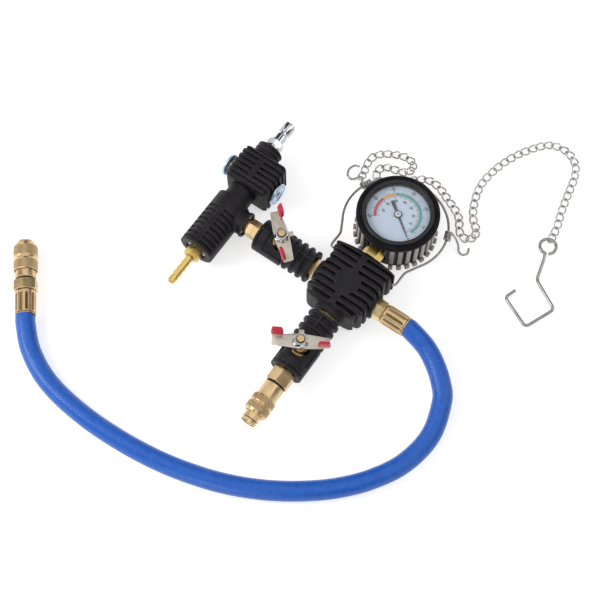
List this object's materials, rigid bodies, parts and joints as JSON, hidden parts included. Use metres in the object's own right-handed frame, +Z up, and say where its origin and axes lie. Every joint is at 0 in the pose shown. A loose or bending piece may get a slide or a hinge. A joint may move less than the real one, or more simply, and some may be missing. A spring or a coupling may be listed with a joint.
{
  "type": "coolant vacuum filler",
  "caption": "Coolant vacuum filler: rubber-jacketed cross manifold with gauge, butterfly ball valves, venturi with slide valve, quick couplers, hose, wire bail and hook chain.",
  "frame": {"origin": "middle of the manifold jacket's flat underside, on the table", "axes": "+Z up from the table, +Y from the manifold to the gauge, +X from the manifold to the hose"},
  "size_m": [0.4185, 0.4603, 0.0575],
  "materials": {
    "rubber": "matt moulded rubber",
    "brass": "machined brass",
    "chrome": "bright plating",
    "steel": "bright wire",
    "handle_steel": "stamped and plated",
    "vinyl_red": "dipped vinyl",
    "seal": "white fluoropolymer",
    "blue_anodised": "pale blue anodised",
    "alloy": "cast and machined",
    "black_steel": "satin black enamel",
    "dial": "printed pale blue-white dial",
    "pointer_black": "matt black",
    "hose_blue": "satin blue reinforced hose",
    "lens": "clear window"
  },
  "bodies": {
    "tool": {"manifold_core": "brass", "manifold_jacket": "rubber", "gauge_case": "black_steel", "gauge_boot": "rubber", "gauge_bezel": "black_steel", "gauge_lens": "lens", "dial_plate": "dial", "gauge_socket": "brass", "bourdon_tube": "brass", "movement_frame": "brass", "valve_a_body": "brass", "valve_a_seat": "seal", "valve_a_jacket": "rubber", "valve_b_body": "brass", "valve_b_seat": "seal", "valve_b_jacket": "rubber", "nipple_a": "brass", "nipple_b": "brass", "venturi_nipple": "brass", "venturi_body": "alloy", "venturi_jacket": "rubber", "venturi_nozzle": "brass", "exhaust_barb": "brass", "slide_valve_body": "alloy", "slide_valve_jacket": "rubber", "air_plug": "chrome", "coupler_b_adapter": "brass", "coupler_b_body": "brass", "coupler_b_spring": "steel", "hose_coupler_adapter": "brass", "hose_coupler_body": "brass", "hose_coupler_spring": "steel", "hose": "hose_blue", "hose_ferrule_near": "brass", "hose_ferrule_far": "brass", "hose_nut": "brass", "chain": "steel"},
    "valve_a_control": {"valve_a_ball": "chrome", "valve_a_stem": "brass", "valve_a_handle": "handle_steel", "valve_a_grip_far": "vinyl_red", "valve_a_grip_near": "vinyl_red", "valve_a_nut": "chrome"},
    "valve_b_control": {"valve_b_ball": "chrome", "valve_b_stem": "brass", "valve_b_handle": "handle_steel", "valve_b_grip_far": "vinyl_red", "valve_b_grip_near": "vinyl_red", "valve_b_nut": "chrome"},
    "spool": {"slide_spool": "steel", "button_left": "blue_anodised", "button_right": "blue_anodised"},
    "coupler_b_collar": {"coupler_b_sleeve": "brass"},
    "hose_coupler_collar": {"hose_coupler_sleeve": "brass"},
    "needle": {"pointer": "pointer_black"},
    "sector": {"sector_gear": "brass"},
    "bail_wire": {"bail": "steel", "s_hook_left": "steel", "s_hook_right": "steel"},
    "hanging_hook": {"c_hook": "steel"}
  },
  "joints": [
    {"name": "valve_a_turn", "type": "hinge", "parent": "tool", "child": "valve_a_control", "pos_m": [-0.068, 0, 0.019], "axis": [0, 0, 1], "range_deg": [-50, 40]},
    {"name": "valve_b_turn", "type": "hinge", "parent": "tool", "child": "valve_b_control", "pos_m": [0, -0.069, 0.019], "axis": [0, 0, 1], "range_deg": [-30.6, 59.4]},
    {"name": "spool_slide", "type": "slide", "parent": "tool", "child": "spool", "axis": [1, 0, 0], "range_m": [0, 0.0035]},
    {"name": "coupler_b_pull", "type": "slide", "parent": "tool", "child": "coupler_b_collar", "axis": [0, 1, 0], "range_m": [0, 0.0035], "stiffness_N_per_m": 800, "springref_m": -0.002, "deforming": ["coupler_b_spring"]},
    {"name": "hose_coupler_pull", "type": "slide", "parent": "tool", "child": "hose_coupler_collar", "axis": [0.6374, -0.7705, 0], "range_m": [0, 0.0035], "stiffness_N_per_m": 800, "springref_m": -0.002, "deforming": ["hose_coupler_spring"]},
    {"name": "sector_turn", "type": "hinge", "parent": "tool", "child": "sector", "pos_m": [0, 0.0535, 0.0266], "axis": [0, 0, 1], "range_deg": [-50.8, 0], "stiffness_Nm_per_rad": 0.002},
    {"name": "pointer_turn", "type": "hinge", "parent": "tool", "child": "needle", "pos_m": [0, 0.0775, 0.0344], "axis": [0, 0, 1], "range_deg": [0, 254]},
    {"name": "bail_swing", "type": "hinge", "parent": "tool", "child": "bail_wire", "pos_m": [0, 0.026, 0.019], "axis": [1, 0, 0], "range_deg": [0, 120], "deforming": ["chain"]},
    {"name": "hook_swing", "type": "hinge", "parent": "tool", "child": "hanging_hook", "pos_m": [0.119, 0.1415, 0.0032], "axis": [0, 0, 1], "range_deg": [-30, 60], "deforming": ["chain"]}
  ],
  "couplings": [
    {"joint": "pointer_turn", "follows": "sector_turn", "ratio": -5}
  ]
}
